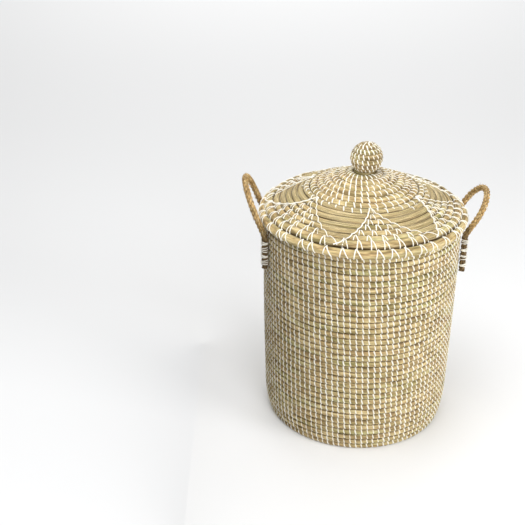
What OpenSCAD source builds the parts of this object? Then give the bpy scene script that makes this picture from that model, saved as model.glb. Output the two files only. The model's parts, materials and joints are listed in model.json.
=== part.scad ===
// Lidded laundry basket in coiled seagrass: a round coiled body, a shallow coned lid with a
// ball knob, and two rope loop handles lashed to the wall.
// Millimetres, +Z up. The origin is the centre of the base, on the floor.

/* [Basket body] */
// Outer radius of the wall at the mouth
mouth_r = 178.7; // [150:0.1:200]
// Height from the floor to the top of the mouth coil
wall_h = 400; // [340:1:440]
// Coil rows from the floor to the mouth
wall_rows = 35; // [30:1:40]
// How much narrower the wall line is at the floor than at the mouth
wall_flare = 5; // [0:0.5:12]
// How far the heel turns in below the wall line
heel_in = 11.5; // [6:0.5:16]
// Rows that make up the rounded heel
heel_rows = 5; // [3:1:7]
// Radius of the flat spiral base
base_r = 150; // [130:1:152]
// Radius of the tight coil that starts the base spiral
start_r = 17; // [10:1:30]
// Depth of the groove between two rows
groove = 1.2; // [0.4:0.1:2]

/* [Stitching] */
// Stitch columns round the wall
wall_columns = 102; // [60:1:110]
// Width of a stitch
stitch_w = 2.2; // [1:0.1:3]
// Diameter of the lashing thread
lash_d = 1.5; // [0.8:0.1:1.8]
// How far a stitch stands proud of the coil
stitch_h = 0.9; // [0.4:0.1:1.2]
// Stitch lines on the base
base_columns = 36; // [12:1:48]
// Stitch lines round the crown of the lid
crown_columns = 40; // [18:1:42]
// Stitches round the rim of the lid
rim_stitches = 42; // [24:6:48]
// Stitch lines round the knob
knob_columns = 24; // [12:1:30]

/* [Lid] */
// Outer radius of the lid
lid_r = 187.7; // [184:0.1:192]
// Radius of the section of the thick coil round the lid's edge
lid_rim_t = 8; // [8:0.5:11]
// Outer radius of the coned field, inside the rim coil
field_r = 170.4; // [160:0.1:170.6]
// Height of the field's outer edge above the rim coil's centre
field_edge_h = 11.2; // [6:0.1:12]
// Rise of the cone from the field's outer edge to the crown's inner edge
cone_rise = 70.4; // [50:0.1:80]
// Crowning of the cone between its two edges
cone_bulge = 2.2; // [0:0.1:4]
// Radius where the bare petals end and the stitched crown starts
crown_r = 98; // [70:1:100]
// Radius of the start coil under the knob
lid_start_r = 22; // [20:0.5:26]
// Points of the stitched star
star_points = 6; // [4:1:6]
// Direction of the first star point, from +X
star_turn = 30; // [0:0.5:60]
// How far a wedge reaches round the rim, clockwise of its tip
wedge_back = 19; // [10:1:22]
// How far a wedge reaches round the rim, anticlockwise of its tip
wedge_ahead = 37; // [20:1:38]
// Outer radius of the coil that locates the lid inside the mouth
locator_r = 164.5; // [160:0.1:165]
// Depth of the locating coil below the mouth's top edge
locator_drop = 12; // [6:1:20]

/* [Knob] */
// Radius of the ball knob
knob_r = 29.1; // [24:0.1:32]
// Height of the ball's centre above the top of the start coil
knob_lift = 27.4; // [20:0.1:28]
// Radius of the stuffed core
knob_core_r = 20.9; // [14:0.1:22]

/* [Rope handles] */
// Diameter of the twisted rope
rope_d = 12; // [8:0.1:14]
// Angle of each left leg from the handle's middle, seen from above
left_leg_angle = 17.3; // [12:0.1:24]
// Angle of each right leg from the handle's middle, seen from above
right_leg_angle = 15; // [12:0.1:24]
// Height of the line that each loop swings about
hinge_z = 380; // [360:1:382]
// Height of the left rope's ends
left_end_z = 318; // [300:1:330]
// Height of the right rope's ends
right_end_z = 309; // [300:1:330]
// Height of the left loop above its hinge line, along the loop
left_rise = 95; // [70:1:110]
// Lean of the left loop outwards at rest
left_lean = 21.5; // [18:0.5:60]
// Height of the right loop above its hinge line, along the loop
right_rise = 78; // [70:1:110]
// Lean of the right loop outwards at rest
right_lean = 31; // [18:0.5:60]
// Groups of thread in each lashing
lash_groups = 4; // [2:1:5]
// Turns of thread in each group
lash_turns = 3; // [1:1:3]

/* [Hidden] */
$fn = 96;

SEAGRASS = [0.74, 0.68, 0.55];
BARE_GRASS = [0.81, 0.75, 0.58];
ROPE = [0.68, 0.56, 0.36];
THREAD = [0.95, 0.94, 0.90];
STUFFING = [0.60, 0.52, 0.38];

clear = 0.3;             // gap between pieces that move apart
touch = 0.05;            // gap between pieces that are sewn together
pitch = wall_h / wall_rows;
coil_t = pitch;          // thickness of every plain coil
heel_h = heel_rows * pitch;
wall_top = wall_h - pitch;
mouth_c = [mouth_r - coil_t / 2, wall_h - coil_t / 2];
rim_c = let (dr = lid_r - lid_rim_t - mouth_c[0], reach = lid_rim_t + coil_t / 2 + clear)
    [lid_r - lid_rim_t, mouth_c[1] + sqrt(reach * reach - dr * dr)];
field_edge_z = rim_c[1] + field_edge_h;
cone_angle = atan(cone_rise / (field_r - lid_start_r));
lid_t = coil_t / cos(cone_angle);
start_sink = 7;          // how far the start coil sits below the crown's inner edge
start_t = 9;             // thickness of the start coil
start_top = lid_top(lid_start_r) - start_sink;
knob_z = start_top + knob_lift;
rope_r = rope_d / 2;
leg_ring = mouth_r + stitch_h + rope_r + 2 * touch;
leg_top = hinge_z - rope_r - clear;
lash_arc = 134;          // each turn reaches this far round the rope from its outer side
lash_foot = 8;           // bare rope below the lowest group of turns
lash_head = 6;           // height of the top group
base_inset = [4, 8];     // bare base inside and outside the base's stitch lines
star_inset = 4;          // bare field inside and outside the stitched wedges
crown_inset = [8, 2];    // bare crown inside and outside its stitch lines
wedge_reach = 1.7;       // each wedge is drawn this much longer than the field, then trimmed
rim_sewn = [-60, 100];   // polar angles between which the rim coil is sewn over
knob_sewn = [-35, 70];   // polar angles between which the knob is sewn over

// Radius of the wall's outer face at height z
function wall_out(z) = mouth_r - wall_flare * pow(1 - z / wall_h, 2)
    - (z < heel_h ? heel_in * (1 - sqrt(1 - pow(1 - z / heel_h, 2))) : 0);

// Angle of a side's legs from its middle, and the height of its rope ends
function leg_angle(side) = side > 0 ? right_leg_angle : left_leg_angle;
function end_z(side) = side > 0 ? right_end_z : left_end_z;

// Outline of the outer face over rows first to last, with a groove between rows
function coil_face(first, last) = concat(
    [for (i = [first : last], part = [0, 0.3, 0.7])
        let (z = (i + part) * pitch) [wall_out(z) - (part == 0 ? groove : 0), z]],
    [let (z = (last + 1) * pitch) [wall_out(z) - groove, z]]);

// Height of the lid's upper face at radius r, and of its lower face
function lid_top(r) = let (u = (field_r - r) / (field_r - lid_start_r))
    field_edge_z + cone_rise * u + cone_bulge * sin(180 * u);
function lid_under(r) = lid_top(r) - lid_t;

// Section of a ring that follows the cone between two radii and two offsets from its top
function cone_band(r_in, r_out, low, high, steps = 6) = let (
    rs = [for (i = [0 : steps]) r_in + (r_out - r_in) * i / steps]) concat(
    [for (r = rs) [r, lid_top(r) + high]],
    [for (i = [steps : -1 : 0]) [rs[i], lid_top(rs[i]) + low]]);

// Section of a ring round a ball between two polar angles
function ball_band(r_in, r_out, a_low, a_high, steps = 8) = let (
    as = [for (i = [0 : steps]) a_low + (a_high - a_low) * i / steps]) concat(
    [for (a = as) r_out * [cos(a), sin(a)]],
    [for (i = [steps : -1 : 0]) r_in * [cos(as[i]), sin(as[i])]]);

// A short stretch of a turned section, centred on angle 0, width mm wide at radius r
module rib(width, r) {
    sweep = 2 * asin(width / 2 / r);
    rotate([0, 0, -sweep / 2]) rotate_extrude(angle = sweep) children();
}

// Copies its children evenly round the axis
module around(count) {
    for (i = [0 : count - 1]) rotate([0, 0, i * 360 / count]) children();
}

// ---- basket body ----

module base_start_coil() {
    color(SEAGRASS) cylinder(r = start_r, h = coil_t);
}

module base_coil() {
    color(SEAGRASS) rotate_extrude()
        translate([start_r + touch, 0]) square([base_r - start_r - 2 * touch, coil_t]);
}

// Radial lines of stitches on the inner face of the base
module base_stitching() {
    color(THREAD) around(base_columns)
        translate([start_r + base_inset[0], -stitch_w / 2, coil_t + touch])
            cube([base_r - start_r - base_inset[0] - base_inset[1], stitch_w, stitch_h]);
}

module heel_coil() {
    inner = [for (i = [heel_rows : -1 : 1]) [wall_out(i * pitch) - coil_t, i * pitch]];
    color(SEAGRASS) rotate_extrude()
        polygon(concat([[base_r, 0]], coil_face(0, heel_rows - 1), inner, [[base_r, coil_t]]));
}

module wall_coil() {
    low = heel_h + touch;
    outer = coil_face(heel_rows, wall_rows - 2);
    inner = [for (i = [4 : -1 : 0])
        let (z = low + (wall_top - low) * i / 4) [wall_out(z) - coil_t, z]];
    color(SEAGRASS) rotate_extrude()
        polygon(concat([for (p = outer) [p[0], max(p[1], low)]], inner));
}

// One thin rib for each column of stitches on the wall
module wall_stitching() {
    zs = [for (i = [0 : 3]) heel_h + (wall_top - heel_h - 2) * i / 3];
    color(THREAD) around(wall_columns) rib(stitch_w, mouth_r) polygon(concat(
        [for (z = zs) [wall_out(z) + 0.15, z]],
        [for (i = [3 : -1 : 0]) [wall_out(zs[i]) + stitch_h, zs[i]]]));
}

module mouth_coil() {
    color(SEAGRASS) rotate_extrude() translate(mouth_c) circle(r = coil_t / 2 - touch);
}

// ---- rope legs and their lashings, all fixed to the wall ----

// Puts its children on the leg line of one side (-1 left, 1 right) and end (-1 front, 1 rear)
module at_leg(side, end) {
    angle = (side > 0 ? 0 : 180) + side * end * leg_angle(side);
    rotate([0, 0, angle]) translate([leg_ring, 0, 0]) children();
}

module leg(side, end) {
    color(ROPE) at_leg(side, end) {
        translate([0, 0, end_z(side)]) cylinder(r = rope_r, h = leg_top - end_z(side));
    }
}

// Turns of thread round one leg, in groups
module lashing(side, end) {
    lash_low = end_z(side) + lash_foot;
    lash_step = (leg_top - lash_low - lash_head) / max(1, lash_groups - 1);
    color(THREAD) at_leg(side, end)
        for (g = [0 : lash_groups - 1], t = [0 : lash_turns - 1])
            translate([0, 0, lash_low + g * lash_step + (t + 0.6) * (lash_d + 0.2)])
                rotate([0, 0, -lash_arc]) rotate_extrude(angle = 2 * lash_arc)
                    translate([rope_r + lash_d / 2 + touch, 0]) circle(d = lash_d, $fn = 24);
}

module left_front_leg() { leg(-1, -1); }
module left_rear_leg() { leg(-1, 1); }
module right_front_leg() { leg(1, -1); }
module right_rear_leg() { leg(1, 1); }
module left_front_lashing() { lashing(-1, -1); }
module left_rear_lashing() { lashing(-1, 1); }
module right_front_lashing() { lashing(1, -1); }
module right_rear_lashing() { lashing(1, 1); }

// ---- lid ----

module lid_rim_coil() {
    color(SEAGRASS) rotate_extrude() translate(rim_c) circle(r = lid_rim_t);
}

// Arcs of thread over the outer half of the rim coil
module lid_rim_stitching() {
    color(THREAD) around(rim_stitches) rib(stitch_w, lid_r) translate(rim_c)
        polygon(ball_band(lid_rim_t + 0.2, lid_rim_t + stitch_h, rim_sewn[0], rim_sewn[1]));
}

module lid_field_coil() {
    color(BARE_GRASS) rotate_extrude()
        polygon(cone_band(crown_r + touch, field_r, -lid_t, 0));
}

// A corner past the rim, on the line from a wedge's tip through angle a on the field's edge
function wedge_corner(a) = let (tip = [crown_r, 0], edge = field_r * [cos(a), sin(a)])
    tip + wedge_reach * (edge - tip);

// Six stitched wedges that widen from the crown to the rim, with bare petals between them
module lid_star_stitching() {
    color(THREAD) intersection() {
        rotate_extrude()
            polygon(cone_band(crown_r + star_inset, field_r - star_inset, 0.2, 0.2 + stitch_h / 2));
        rotate([0, 0, star_turn]) around(star_points) translate([0, 0, rim_c[1]])
            linear_extrude(cone_rise)
                polygon([[crown_r, 0], wedge_corner(-wedge_back), wedge_corner(wedge_ahead)]);
    }
}

module lid_crown_coil() {
    color(SEAGRASS) rotate_extrude()
        polygon(cone_band(lid_start_r + touch, crown_r - touch, -lid_t, 0));
}

module lid_crown_stitching() {
    inner = lid_start_r + crown_inset[0];
    color(THREAD) around(crown_columns) rib(stitch_w, inner)
        polygon(cone_band(inner, crown_r - crown_inset[1], 0.3, stitch_h));
}

module lid_start_coil() {
    color(SEAGRASS) translate([0, 0, start_top - start_t])
        cylinder(r = lid_start_r - touch, h = start_t);
}

// Two rows sewn under the field, which drop inside the mouth and centre the lid
module lid_locating_coil() {
    inner = locator_r - coil_t;
    low = wall_h - locator_drop;
    round = coil_t / 4;
    color(SEAGRASS) rotate_extrude() polygon([
        [inner, low + round], [inner + round, low], [locator_r - round, low],
        [locator_r, low + round],
        [locator_r, lid_under(locator_r) - touch], [inner, lid_under(inner) - touch]]);
}

// ---- knob ----

module knob_core() {
    color(STUFFING) translate([0, 0, knob_z]) sphere(r = knob_core_r);
}

// Ball of coiled rows round the core, cut flat where it is sewn to the start coil
module knob_coil() {
    color(SEAGRASS) difference() {
        translate([0, 0, knob_z]) sphere(r = knob_r);
        translate([0, 0, knob_z]) sphere(r = knob_core_r + touch);
        translate([-knob_r, -knob_r, start_top - knob_r + touch]) cube([2 * knob_r, 2 * knob_r, knob_r]);
    }
}

module knob_stitching() {
    color(THREAD) translate([0, 0, knob_z]) around(knob_columns) rib(stitch_w, knob_r)
        polygon(ball_band(knob_r + 0.3, knob_r + stitch_h, knob_sewn[0], knob_sewn[1]));
}

// Crossed threads under the lid that hold the knob
module knob_anchor_stitches() {
    bar = 2 * lid_start_r * 0.7;
    color(THREAD) translate([0, 0, start_top - start_t - touch - stitch_h / 2])
        for (a = [0, 90]) rotate([0, 0, a]) cube([bar, stitch_w, stitch_h], center = true);
}

// ---- swinging loops ----

// Rope loop in its own plane: two straight sides and a half round top, with round ends
module loop(side, rise, lean) {
    leg_x = leg_ring * cos(leg_angle(side));
    leg_y = leg_ring * sin(leg_angle(side));
    sides = rise - leg_y;
    color(ROPE) translate([side * leg_x, 0, hinge_z]) rotate([0, side * lean, 0]) {
        for (end = [-1, 1]) translate([0, end * leg_y, 0]) {
            sphere(r = rope_r);
            cylinder(r = rope_r, h = sides);
        }
        translate([0, 0, sides]) rotate([90, 0, 90])
            rotate_extrude(angle = 180) translate([leg_y, 0]) circle(r = rope_r);
    }
}

module left_handle_loop() { loop(-1, left_rise, left_lean); }
module right_handle_loop() { loop(1, right_rise, right_lean); }

base_start_coil();
base_coil();
base_stitching();
heel_coil();
wall_coil();
wall_stitching();
mouth_coil();
left_front_leg();
left_rear_leg();
right_front_leg();
right_rear_leg();
left_front_lashing();
left_rear_lashing();
right_front_lashing();
right_rear_lashing();
lid_rim_coil();
lid_rim_stitching();
lid_field_coil();
lid_star_stitching();
lid_crown_coil();
lid_crown_stitching();
lid_start_coil();
lid_locating_coil();
knob_core();
knob_coil();
knob_stitching();
knob_anchor_stitches();
left_handle_loop();
right_handle_loop();
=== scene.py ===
"""Looks of the coiled seagrass laundry basket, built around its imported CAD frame."""

import json
import logging
import math
from dataclasses import dataclass, field
from enum import Enum

import bpy
import numpy as np
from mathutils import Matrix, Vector

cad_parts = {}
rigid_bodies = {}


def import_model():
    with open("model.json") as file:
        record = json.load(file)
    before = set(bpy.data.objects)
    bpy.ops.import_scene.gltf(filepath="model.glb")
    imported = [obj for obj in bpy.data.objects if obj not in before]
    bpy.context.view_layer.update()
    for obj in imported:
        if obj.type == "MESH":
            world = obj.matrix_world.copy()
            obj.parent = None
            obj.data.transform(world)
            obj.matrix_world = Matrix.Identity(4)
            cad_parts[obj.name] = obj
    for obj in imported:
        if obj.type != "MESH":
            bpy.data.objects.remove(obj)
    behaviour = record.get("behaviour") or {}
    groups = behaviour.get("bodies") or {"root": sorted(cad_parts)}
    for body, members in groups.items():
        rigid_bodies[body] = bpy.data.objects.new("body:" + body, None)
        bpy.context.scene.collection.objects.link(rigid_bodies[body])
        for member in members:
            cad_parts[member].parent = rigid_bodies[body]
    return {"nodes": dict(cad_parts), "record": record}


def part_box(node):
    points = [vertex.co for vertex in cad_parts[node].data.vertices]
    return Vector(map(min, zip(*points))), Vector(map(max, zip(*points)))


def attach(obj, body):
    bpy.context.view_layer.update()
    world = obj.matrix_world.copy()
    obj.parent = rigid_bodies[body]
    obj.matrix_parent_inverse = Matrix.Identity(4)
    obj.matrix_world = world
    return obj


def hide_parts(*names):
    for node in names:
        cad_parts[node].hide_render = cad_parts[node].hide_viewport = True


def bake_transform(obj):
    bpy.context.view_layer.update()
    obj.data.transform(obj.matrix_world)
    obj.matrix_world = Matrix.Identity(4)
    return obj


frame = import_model()

LOG = logging.getLogger("basket")
MM = 0.001
TAU = 2.0 * math.pi
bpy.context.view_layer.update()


# ---------------------------------------------------------------- small helpers


def linear(hex_colour: str) -> tuple[float, float, float, float]:
    """Turns an sRGB hex colour into the linear colour that shaders read.

    Args:
        hex_colour: six hex digits, with or without a leading hash.

    Returns:
        Linear red, green, blue and an alpha of 1.
    """
    digits = hex_colour.lstrip("#")
    parts = [int(digits[i : i + 2], 16) / 255.0 for i in (0, 2, 4)]
    parts = [c / 12.92 if c <= 0.04045 else ((c + 0.055) / 1.055) ** 2.4 for c in parts]
    return parts[0], parts[1], parts[2], 1.0


def add_node(tree: bpy.types.NodeTree, kind: str, inputs: dict | None = None, **settings) -> bpy.types.Node:
    """Adds one node, sets it up and links it.

    Args:
        tree: the node tree that gets the node.
        kind: Blender's type name of the node.
        inputs: input name or index to either a socket to link from or a plain value.
        settings: the node's own properties.

    Returns:
        The new node.
    """
    node = tree.nodes.new(kind)
    for name, value in settings.items():
        setattr(node, name, value)
    for key, value in (inputs or {}).items():
        if isinstance(value, bpy.types.NodeSocket):
            tree.links.new(value, node.inputs[key])
        else:
            node.inputs[key].default_value = value
    return node


def new_material(
    name: str, roughness: float = 0.5, specular: float = 0.5
) -> tuple[bpy.types.Material, bpy.types.Node]:
    """Makes a node material.

    Args:
        name: the material's name.
        roughness: its roughness.
        specular: its specular level.

    Returns:
        The material and its main shader.
    """
    material = bpy.data.materials.new(name)
    material.use_nodes = True
    shader = material.node_tree.nodes["Principled BSDF"]
    shader.inputs["Roughness"].default_value = roughness
    shader.inputs["Specular IOR Level"].default_value = specular
    return material, shader


def mix_colours(
    tree: bpy.types.NodeTree,
    share: float | bpy.types.NodeSocket,
    first: tuple | bpy.types.NodeSocket,
    second: tuple | bpy.types.NodeSocket,
    blend: str = "MIX",
) -> bpy.types.NodeSocket:
    """Mixes two colours.

    Args:
        tree: the material's node tree.
        share: how much of the second colour shows, as a socket or a number.
        first: a colour or its socket.
        second: a colour or its socket.
        blend: Blender's name of the way to mix.

    Returns:
        The mixed colour.
    """
    values = {0: share, 6: first, 7: second}
    return add_node(tree, "ShaderNodeMix", values, data_type="RGBA", blend_type=blend).outputs[2]


def remap(
    tree: bpy.types.NodeTree, value: bpy.types.NodeSocket, source: tuple, result: tuple
) -> bpy.types.NodeSocket:
    """Maps a value from a source range to a result range and holds it there."""
    ends = dict(zip(("From Min", "From Max", "To Min", "To Max"), source + result))
    return add_node(tree, "ShaderNodeMapRange", {"Value": value, **ends}).outputs["Result"]


def multiply_add(
    tree: bpy.types.NodeTree, value: bpy.types.NodeSocket, factor: float, added: bpy.types.NodeSocket
) -> bpy.types.NodeSocket:
    """Value times a factor plus what is added."""
    node = add_node(tree, "ShaderNodeMath", {0: value, 1: factor, 2: added}, operation="MULTIPLY_ADD")
    return node.outputs["Value"]


def node_points(name: str) -> np.ndarray:
    """Vertices of a CAD node, in metres, one row each."""
    mesh = frame["nodes"][name].data
    points = np.empty(len(mesh.vertices) * 3)
    mesh.vertices.foreach_get("co", points)
    return points.reshape(-1, 3)


def crest_radius(points: np.ndarray, height: float, reach: float) -> float:
    """Largest radius of a turned node near a height.

    Args:
        points: the node's vertices.
        height: height to look at.
        reach: how far above and below it to look.

    Returns:
        The radius in metres.
    """
    near = np.abs(points[:, 2] - height) <= reach
    return float(np.hypot(points[near, 0], points[near, 1]).max())


def show(mesh: bpy.types.Mesh, name: str) -> bpy.types.Object:
    """Puts a mesh in the scene as an object at the origin."""
    piece = bpy.data.objects.new(name, mesh)
    bpy.context.scene.collection.objects.link(piece)
    return piece


def settle(piece: bpy.types.Object, body: str, slot: str, *nodes: str) -> bpy.types.Object:
    """Puts a piece on the body that carries it and hides the CAD nodes it stands for.

    Args:
        piece: the finished piece.
        body: the CAD body that carries it.
        slot: the record's material slot; not used.
        nodes: CAD nodes that the piece replaces.

    Returns:
        The same piece.
    """
    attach(piece, body)
    return label(piece, slot, *nodes)


def label(piece: bpy.types.Object, slot: str, *nodes: str) -> bpy.types.Object:
    """Hides the CAD nodes that a piece replaces and logs the piece with its faces and those nodes."""
    if nodes:
        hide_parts(*nodes)
    faces = len(piece.data.polygons)
    LOG.info("%s: %d faces, stands for %s", piece.name, faces, ", ".join(nodes) or "trim")
    return piece


# ---------------------------------------------------------------- finishes


@dataclass(frozen=True)
class Seagrass:
    """Dried seagrass, sorted, dampened and laid in a bundle of flat blades.

    The eye sees straw and olive blades that run along the bundle and a dull sheen. The dark gaps
    between rows and strands are painted shade: a second attribute, 0 to 1, mixes in the dark
    crevice colour. Patterns follow the piece's "strand" attribute: metres along, turns round, tone.
    """

    name: str
    shade: str = "57461F"
    # colour of the painted shade in the gaps between rows and strands
    crevice_shade: str = "38260E"
    body: str = "AE9967"
    light: str = "E3D4A2"
    warm: str = "BFA072"
    green: str = "98965A"
    blades: float = 6.5
    blade_length: float = 32 * MM
    hue_length: float = 90 * MM
    relief: float = 0.7 * MM
    roughness: float = 0.62
    contrast: float = 1.0
    raggedness: float = 0.35
    fibre_fineness: tuple = (2.6, 3.7)
    tint_share: float = 0.52
    # where the painted shade starts and how dark it gets at most
    painted_shade_start: float = 0.6
    painted_shade_depth: float = 0.94
    fibre_relief: float = 0.35

    def build(self) -> bpy.types.Material:
        """Makes the node material.

        Returns:
            The finished material.
        """
        material, shader = new_material(self.name, specular=0.32)
        tree = material.node_tree
        strand = add_node(tree, "ShaderNodeAttribute", attribute_name="strand")
        seam = add_node(tree, "ShaderNodeAttribute", attribute_name="seam")
        finer, thinner = self.fibre_fineness
        blade = self._noise(tree, strand, (1 / self.blade_length, self.blades, 41.0), 2.0)
        fibre = self._noise(tree, strand, (finer / self.blade_length, self.blades * thinner, 17.0), 1.0)
        hue = self._noise(tree, strand, (1 / self.hue_length, 2.2, 7.0), 2.0)
        tint = self._ramp(
            tree, hue, (0.30, self.green), (0.45, self.body), (0.58, self.warm), (0.72, self.body)
        )
        value = self._ramp(tree, blade, (0.34, self.shade), (0.47, self.body), (0.66, self.light))
        colour = mix_colours(tree, self.tint_share, value, tint)
        streak = remap(tree, fibre, (0.3, 0.7), (1 - 0.4 * self.contrast, 1 + 0.25 * self.contrast))
        colour = mix_colours(tree, 1.0, colour, streak, "MULTIPLY")
        # painted shade: the piece's shade attribute mixes in the dark crevice colour, its edge broken up by
        # the blade noise
        broken = multiply_add(tree, blade, -self.raggedness, seam.outputs["Fac"])
        mean = 0.5 * self.raggedness
        depth = remap(tree, broken, (self.painted_shade_start - mean, 1.0 - mean), (0.0, self.painted_shade_depth))
        colour = mix_colours(tree, depth, colour, linear(self.crevice_shade))
        height = multiply_add(tree, fibre, self.fibre_relief, blade)
        bump = add_node(tree, "ShaderNodeBump", {"Strength": 0.9, "Distance": self.relief, "Height": height})
        rough = remap(tree, blade, (0.3, 0.7), (self.roughness + 0.14, self.roughness - 0.08))
        tree.links.new(colour, shader.inputs["Base Color"])
        tree.links.new(rough, shader.inputs["Roughness"])
        tree.links.new(bump.outputs["Normal"], shader.inputs["Normal"])
        return material

    @staticmethod
    def _noise(
        tree: bpy.types.NodeTree, strand: bpy.types.Node, scale: tuple, detail: float
    ) -> bpy.types.NodeSocket:
        """Noise on the strand coordinates, stretched by a scale for each of along, round and tone."""
        place = add_node(
            tree, "ShaderNodeVectorMath", {0: strand.outputs["Vector"], 1: scale}, operation="MULTIPLY"
        )
        values = {"Vector": place.outputs["Vector"], "Scale": 1.0, "Detail": detail}
        return add_node(tree, "ShaderNodeTexNoise", values).outputs["Fac"]

    @staticmethod
    def _ramp(
        tree: bpy.types.NodeTree, value: bpy.types.NodeSocket, *stops: tuple[float, str]
    ) -> bpy.types.NodeSocket:
        """Colour ramp with stops, each a place from 0 to 1 and a hex colour."""
        ramp = add_node(tree, "ShaderNodeValToRGB", {"Fac": value})
        elements = ramp.color_ramp.elements
        while len(elements) < len(stops):
            elements.new(0.5)
        for element, (place, colour) in zip(elements, stops):
            element.position = place
            element.color = linear(colour)
        return ramp.outputs["Color"]


@dataclass(frozen=True)
class RaffiaThread:
    """Split white plastic raffia, twisted as it is sewn: bright, faintly ribbed, half matt."""

    name: str
    body: str = "FBF9F0"
    shade: str = "E6E1D2"
    rib: float = 0.9 * MM
    relief: float = 0.2 * MM
    roughness: float = 0.5

    def build(self) -> bpy.types.Material:
        """Makes the node material.

        Returns:
            The finished material.
        """
        material, shader = new_material(self.name, self.roughness, 0.4)
        tree = material.node_tree
        coords = add_node(tree, "ShaderNodeTexCoord")
        values = {"Vector": coords.outputs["Object"], "Scale": 1 / self.rib, "Detail": 1.0}
        ribs = add_node(tree, "ShaderNodeTexNoise", values).outputs["Fac"]
        colour = mix_colours(tree, ribs, linear(self.shade), linear(self.body))
        bump = add_node(tree, "ShaderNodeBump", {"Strength": 0.4, "Distance": self.relief, "Height": ribs})
        tree.links.new(colour, shader.inputs["Base Color"])
        tree.links.new(bump.outputs["Normal"], shader.inputs["Normal"])
        return material


class Finish(Enum):
    """The basket's finishes."""

    COIL = Seagrass("coiled_seagrass")
    BARE = Seagrass(
        "unstitched_seagrass",
        shade="5E4C28",
        body="C8B482",
        light="F4E8C0",
        warm="C6AA7A",
        green="A39E68",
        blades=2.0,
        blade_length=50 * MM,
        hue_length=60 * MM,
        relief=0.25 * MM,
        roughness=0.5,
        contrast=1.4,
    )
    ROPE = Seagrass(
        "twisted_seagrass_rope",
        shade="45300F",
        body="B5935B",
        light="F4E0B2",
        warm="C69C62",
        green="9E8E52",
        blades=2.0,
        blade_length=22 * MM,
        hue_length=60 * MM,
        relief=0.35 * MM,
        roughness=0.6,
        contrast=1.5,
    )
    THREAD = RaffiaThread("white_raffia_thread")

    def material(self) -> bpy.types.Material:
        """The finish's material, made the first time it is asked for."""
        return bpy.data.materials.get(self.value.name) or self.value.build()


# ---------------------------------------------------------------- geometry node trees


class NodeMaker:
    """A Geometry Nodes tree that turns a guide mesh into plain faces."""

    name = "maker"

    def __init__(self) -> None:
        """Starts the tree with its geometry sockets and its material input."""
        self.tree = bpy.data.node_groups.new(self.name, "GeometryNodeTree")
        self.socket("Geometry", "NodeSocketGeometry")
        self.tree.interface.new_socket("Geometry", in_out="OUTPUT", socket_type="NodeSocketGeometry")
        self.socket("Material", "NodeSocketMaterial")
        self.extra_sockets()
        self.source = self.tree.nodes.new("NodeGroupInput")
        self.wire()

    def socket(self, name: str, kind: str, default: float | int | None = None) -> None:
        """Adds a named input to the tree, with a default where it has one."""
        item = self.tree.interface.new_socket(name, in_out="INPUT", socket_type=kind)
        if default is not None:
            item.default_value = default

    def extra_sockets(self) -> None:
        """Adds the sockets of one kind of tree."""

    def wire(self) -> None:
        """Adds and links the nodes of one kind of tree."""

    def node(self, kind: str, inputs: dict | None = None, **settings) -> bpy.types.Node:
        """Adds a node to this tree."""
        return add_node(self.tree, kind, inputs, **settings)

    def named(self, name: str, data_type: str) -> bpy.types.NodeSocket:
        """Output that reads a named attribute of the guide mesh."""
        reader = self.node("GeometryNodeInputNamedAttribute", {"Name": name}, data_type=data_type)
        return reader.outputs["Attribute"]

    def finish(self, geometry: bpy.types.NodeSocket) -> None:
        """Ends the tree with smooth real faces that carry the material."""
        real = self.node("GeometryNodeRealizeInstances", {"Geometry": geometry})
        smooth = self.node("GeometryNodeSetShadeSmooth", {"Geometry": real.outputs["Geometry"]})
        dressed = self.node(
            "GeometryNodeSetMaterial",
            {"Geometry": smooth.outputs["Geometry"], "Material": self.source.outputs["Material"]},
        )
        self.node("NodeGroupOutput", {"Geometry": dressed.outputs["Geometry"]})

    def make(
        self, name: str, guide: bpy.types.Mesh, finish: Finish, **values: float | int
    ) -> bpy.types.Object:
        """Runs the tree on a guide mesh and keeps the result as a plain mesh.

        Args:
            name: the piece's name.
            guide: points or lines with the attributes that the tree reads.
            finish: the piece's finish.
            values: the tree's other inputs, by name with spaces written as underscores.

        Returns:
            The piece, with no modifier left on it.
        """
        piece = show(guide, name)
        modifier = piece.modifiers.new("maker", "NODES")
        modifier.node_group = self.tree
        wanted = {key.replace("_", " "): value for key, value in values.items()}
        for item in self.tree.interface.items_tree:
            if item.name == "Material":
                modifier[item.identifier] = finish.material()
            elif item.name in wanted:
                modifier[item.identifier] = wanted[item.name]
        graph = bpy.context.evaluated_depsgraph_get()
        plain = bpy.data.meshes.new_from_object(
            piece.evaluated_get(graph), preserve_all_data_layers=True, depsgraph=graph
        )
        piece.modifiers.clear()
        piece.data = plain
        plain.name = name
        return piece


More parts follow.
